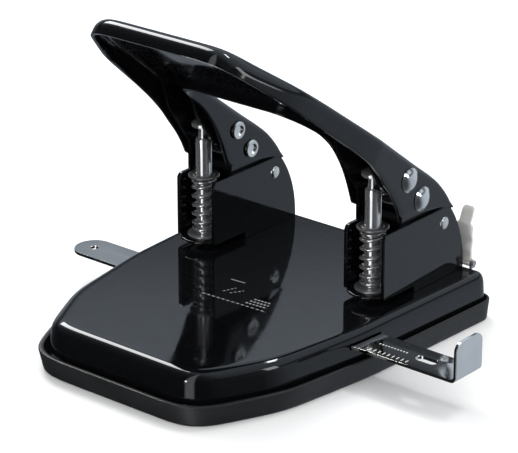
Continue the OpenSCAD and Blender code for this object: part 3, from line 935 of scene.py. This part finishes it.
def make_lever_bracket(side, name):
    x = side * side_x
    reach = bracket_in + 0.2

    def cheek(bm, x0, low_front, high_front):
        back = math.degrees(math.atan2(3.4, 4.8)) - 5
        outline = [low_front, (26.2, 35.9)]
        outline += arc(hinge[0], hinge[1], 6, 222, 360 + back, 18)
        outline += [(30.5, 48), (24, 55.4), (0.15, 74.6), (-15.5, 86.4), (-12, 75), (-4, 63), high_front]
        slab(bm, outline, x0, x0 + bracket_sheet)

    def draw(bm):
        cheek(bm, x - bracket_out, (-0.5, 46.9), (-0.5, 58))
        cheek(bm, x + bracket_in, (7.4, 44.3), (7.4, 52))

    def web(bm):
        block(bm, x - reach, x + reach, -3.2, 12.5, 62.08, 63.1)
        slab(bm, [(25.2, 53.2), (24.3, 54.2), (17, 60), (16, 58.8)], x - reach, x + reach)

    def hole(bm):
        bar(bm, hinge_r + 0.06, x - 12, x + 12, *hinge)
        slot = [(x + fork_slot_r, -6), (x + fork_slot_r, fork_slot_end)]
        slot += arc(x, fork_slot_end, fork_slot_r, 0, 180, 16)[1:-1]
        slot += [(x - fork_slot_r, fork_slot_end), (x - fork_slot_r, -6)]
        loft(bm, [[(px, py, pz) for px, py in slot] for pz in (60, 65)])
        for s in (-1, 1):
            middle = x + s * (bracket_in - 0.6)
            block(bm, middle - 0.6, middle + 0.6, rivet_spots[0][0] - 3, rivet_spots[0][0] + 3, 60, 65)
    obj = combine(solid(draw), ("UNION", solid(web)), ("DIFFERENCE", solid(hole)))
    finish_piece(obj, name + "_presser_bracket", "lever", "black_enamel", (name + "_lever_bracket",),
                 crease=35, edge=0.22)


def make_lever_rivets(side, name):
    def draw(bm):
        for y, z in rivet_spots:
            place = (side * side_x, y, z)
            way = "X" if side > 0 else "-X"
            back = "-X" if side > 0 else "X"
            stem = [(0, bracket_in - 0.9), (2.3, bracket_in - 0.9), (2.6, bracket_in - 0.6),
                    (2.6, bracket_in), (1.6, bracket_in), (1.6, bracket_out), (2, bracket_out),
                    (2, lever_in), (1.6, lever_in), (1.6, lever_out)]
            r, h = 4.6, 2.0
            big = (r * r + h * h) / (2 * h)
            start = math.degrees(math.asin((big - h) / big))
            dome = [(px, lever_out + pz - (big - h)) for px, pz in arc(0, 0, big, start, 90, 10)]
            dome = [(r - 0.25, lever_out)] + [(r, lever_out + 0.25)] + dome[2:]
            lathe(bm, stem + dome, place, way, 48)
            ring = [(3.1, 0), (3.5, 0.3), (3.45, 0.75), (3.1, 1.15), (2.5, 1.2), (1.9, 0.95), (1.55, 0.4),
                    (0, 0.3)]
            lathe(bm, stem + [(px, lever_out + pz) for px, pz in ring], place, back, 48)
    finish_piece(solid(draw), name + "_lever_rivet_heads", "lever", "bright_nickel",
                 (name + "_lever_rivets",))


# ---- gauge ----

def make_gauge():
    outer_r = 2.4
    middle_r = outer_r - gauge_t / 2
    bend_start = gauge_right - outer_r
    flat_end = bend_start + middle_r * math.pi / 2 + (gauge_top - gauge_low - outer_r)
    slot_x = gauge_right - 18

    def strip(bm):
        tip = arc(gauge_left + gauge_half, 0, gauge_half, 90, 270, 28)
        outline = tip + [(flat_end - 3.4, -gauge_half)]
        outline += arc(flat_end - 3.4, 3.4 - gauge_half, 3.4, -90, 0, 8)
        outline += arc(flat_end - 3.4, gauge_half - 3.4, 3.4, 0, 90, 8)
        loft(bm, [[(px, py, pz) for px, py in outline] for pz in (0, gauge_t)])

    def holes(bm):
        post(bm, 1.6, -2, 4, gauge_left + gauge_half, 0)
        post(bm, 1.5, -2, 4, 0, 0)
        ends = arc(slot_x + 2.4, 0, 1.9, -90, 90, 12) + arc(slot_x - 2.4, 0, 1.9, 90, 270, 12)
        loft(bm, [[(px, py, pz) for px, py in ends] for pz in (-2, 4)])

    obj = combine(solid(strip), ("DIFFERENCE", solid(holes)))
    bm = bmesh.new()
    bm.from_mesh(obj.data)
    for k in range(13):
        cut_at = bend_start + middle_r * math.pi / 2 * k / 12
        bmesh.ops.bisect_plane(bm, geom=bm.verts[:] + bm.edges[:] + bm.faces[:], dist=0.0001,
                               plane_co=(cut_at, 0, 0), plane_no=(1, 0, 0))
    for v in bm.verts:
        run = v.co.x - bend_start
        h = v.co.z
        if run > 0:
            angle = min(run / middle_r, math.pi / 2)
            rest = max(0, run - middle_r * math.pi / 2)
            v.co.x = bend_start + (outer_r - h) * math.sin(angle)
            v.co.z = outer_r - (outer_r - h) * math.cos(angle) + rest
    bmesh.ops.translate(bm, vec=(0, gauge_y, gauge_low), verts=bm.verts)
    bm.to_mesh(obj.data)
    bm.free()
    finish_piece(obj, "bent_paper_gauge", "gauge", "bright_nickel", ("paper_gauge",), crease=35, edge=0.15,
                 look="scaled_nickel")


# ---- lock ----

def make_lock():
    y0, z0 = lock_axis

    def draw(bm):
        curl = [(y0 + 1.1 * math.cos(a), z0 + 1.1 * math.sin(a))
                for a in [math.radians(100 - 300 * (1 - k / 14)) for k in range(15)]]
        rise = [(y0 + 0.1, z0 + 2.2), (y0 + 0.1, z0 + 5), (y0 + 0.6, z0 + 8), (y0 + 0.3, z0 + 11),
                (y0 + 0.8, lock_top - 6.6), (y0 + 1.9, lock_top - 4.4), (y0 + 2.8, lock_top - 2.2),
                (y0 + 4.0, lock_top - 0.5)]
        heights = [z for _, z in rise]
        knots = [(z, y) for y, z in rise]
        line = curl + [(follow(knots, z), z) for z in
                       [heights[0] + (heights[-1] - heights[0]) * k / 34 for k in range(35)]]
        rows = []
        for y, z in line:
            tongue = ease((z - (lock_top - 7.4)) / 1.6)
            half = lock_half - 1.4 * tongue - 0.9 * ease((z - (lock_top - 1.6)) / 1.6)
            rows.append([(lock_x - half, y, z), (lock_x - half / 3, y, z), (lock_x + half / 3, y, z),
                         (lock_x + half, y, z)])
        loft(bm, rows, closed=False)
    obj = solid(draw)
    finish_piece(obj, "bent_lock_strip", "lock", "bright_nickel", ("lever_lock",), crease=40, sheet=0.9,
                 look="satin_nickel")
    obj.modifiers["sheet"].offset = 0
    trim = obj.modifiers.new("edge", "BEVEL")
    trim.width = 0.12 * MM
    trim.segments = 2
    trim.limit_method = "ANGLE"


# ---- the pieces kept from the frame ----

KEPT = {
    "snap_sockets": "black_plastic",
    "left_die": "die_steel",
    "right_die": "die_steel",
    "gauge_stop_rivet": "zinc_steel",
    "gauge_rail": "zinc_steel",
    "lock_bracket": "zinc_steel",
    "lock_pin": "zinc_steel",
}


def dress_kept_nodes():
    for node, slot in KEPT.items():
        mesh = NODES[node].data
        mesh.materials.clear()
        mesh.materials.append(FINISH[slot])


# ---- studio ----

def make_floor():
    bm = bmesh.new()
    bmesh.ops.create_grid(bm, x_segments=1, y_segments=1, size=6)
    mesh = bpy.data.meshes.new("floor")
    bm.to_mesh(mesh)
    bm.free()
    floor = bpy.data.objects.new("floor", mesh)
    bpy.context.scene.collection.objects.link(floor)
    paper = Finish("white_paper", Roughness=0.9)
    paper.shader.inputs["Base Color"].default_value = (0.94, 0.945, 0.95, 1)
    mesh.materials.append(paper.material)
    floor.visible_glossy = False


# how bright gloss sees the room: from in front of the punch to behind it, and from below to above
DEPTH_STOPS = ((0.0, 0.012), (0.30, 0.02), (0.52, 0.10), (0.70, 0.52), (1.0, 0.72))
HEIGHT_STOPS = ((0.0, 0.8), (0.56, 0.8), (0.64, 0.3), (0.684, 0.12), (0.704, 0.85), (0.72, 1.0), (1.0, 1.0))


def make_surround():
    """White all round for the camera and for soft light; for gloss, a bright backdrop behind a dark room."""
    world = bpy.data.worlds.new("studio")
    world.use_nodes = True
    sky = world.node_tree.nodes["Background"]
    g = Graph(world.node_tree)
    way = g.node("ShaderNodeTexCoord", {}, {})[0]
    depth = g.spread(g.vector("DOT_PRODUCT", way, (0.12, 0.93, 0.30))[1], -1, 1, 0, 1)
    room = g.ramp(depth, *[(at, (v * 0.87, v * 0.98, v * 1.12, 1)) for at, v in DEPTH_STOPS])
    height = g.spread(g.node("ShaderNodeSeparateXYZ", {}, {0: way})[2], -1, 1, 0, 1)
    bands = g.ramp(height, *[(at, grey(v)) for at, v in HEIGHT_STOPS])
    room = g.vector("MULTIPLY", room, bands)[0]
    heading = g.vector("NORMALIZE", g.vector("MULTIPLY", way, (1, 1, 0))[0])[0]
    window = g.spread(g.vector("DOT_PRODUCT", heading, (0.17, -0.985, 0))[1], 0.955, 0.985, 0, 1)
    room = g.blend(window, room, (1.25, 1.28, 1.32, 1))
    glossy = g.node("ShaderNodeLightPath", {}, {})[3]
    seen = g.blend(glossy, (1, 1, 1, 1), room)
    g.tree.links.new(seen.socket, sky.inputs["Color"])
    sky.inputs["Strength"].default_value = 1.0
    bpy.context.scene.world = world


# name, direction from the punch, distance, width, height, watts
LAMPS = (
    ("window", (-0.594, 0.28, 0.755), 1.5, 0.45, 1.1, 13),
    ("overhead", (0.17, 0.42, 0.89), 1.5, 0.5, 0.12, 4),
    ("front", (-0.02, -0.96, 0.24), 1.4, 0.10, 0.28, 2.2),
    ("right", (0.93, 0.10, 0.36), 1.5, 0.25, 0.5, 1.6),
)


def make_lamps():
    target = Vector((0, -0.015, 0.04))
    for name, way, distance, width, height, power in LAMPS:
        lamp = bpy.data.lights.new(name, "AREA")
        lamp.shape = "RECTANGLE"
        lamp.size = width
        lamp.size_y = height
        lamp.energy = power
        holder = bpy.data.objects.new(name, lamp)
        holder.location = target + Vector(way).normalized() * distance
        holder.rotation_euler = (-Vector(way)).to_track_quat("-Z", "Y").to_euler()
        bpy.context.scene.collection.objects.link(holder)


def make_camera():
    turn = math.radians(39.952)
    rise = math.radians(22.352)
    roll = math.radians(-0.072)
    ahead = Vector((-math.sin(turn) * math.cos(rise), math.cos(turn) * math.cos(rise), -math.sin(rise)))
    right = Vector((math.cos(turn), math.sin(turn), 0))
    up = right.cross(ahead)
    side = right * math.cos(roll) + up * math.sin(roll)
    top = up * math.cos(roll) - right * math.sin(roll)
    cam = bpy.data.cameras.new("camera")
    cam.sensor_width = 36
    cam.lens = 189.13
    holder = bpy.data.objects.new("camera", cam)
    axes = Matrix((side, top, -ahead)).transposed().to_4x4()
    holder.matrix_world = Matrix.Translation((0.5866, -0.7159, 0.4160)) @ axes
    bpy.context.scene.collection.objects.link(holder)
    bpy.context.scene.camera = holder


bpy.context.scene.view_settings.view_transform = "Standard"
make_camera()
make_floor()
make_surround()
make_lamps()
make_chip_tray()
make_feet()
make_deck()
make_head_rivets()
for side, name in ((-1, "left"), (1, "right")):
    make_head_frame(side, name)
    make_guide_bush(side, name)
    make_hinge_pin(side, name)
    make_punch_pin(side, name)
    make_spring_clip(side, name)
    make_return_spring(side, name)
    make_lever_bracket(side, name)
    make_lever_rivets(side, name)
make_lever()
make_gauge()
make_lock()
dress_kept_nodes()
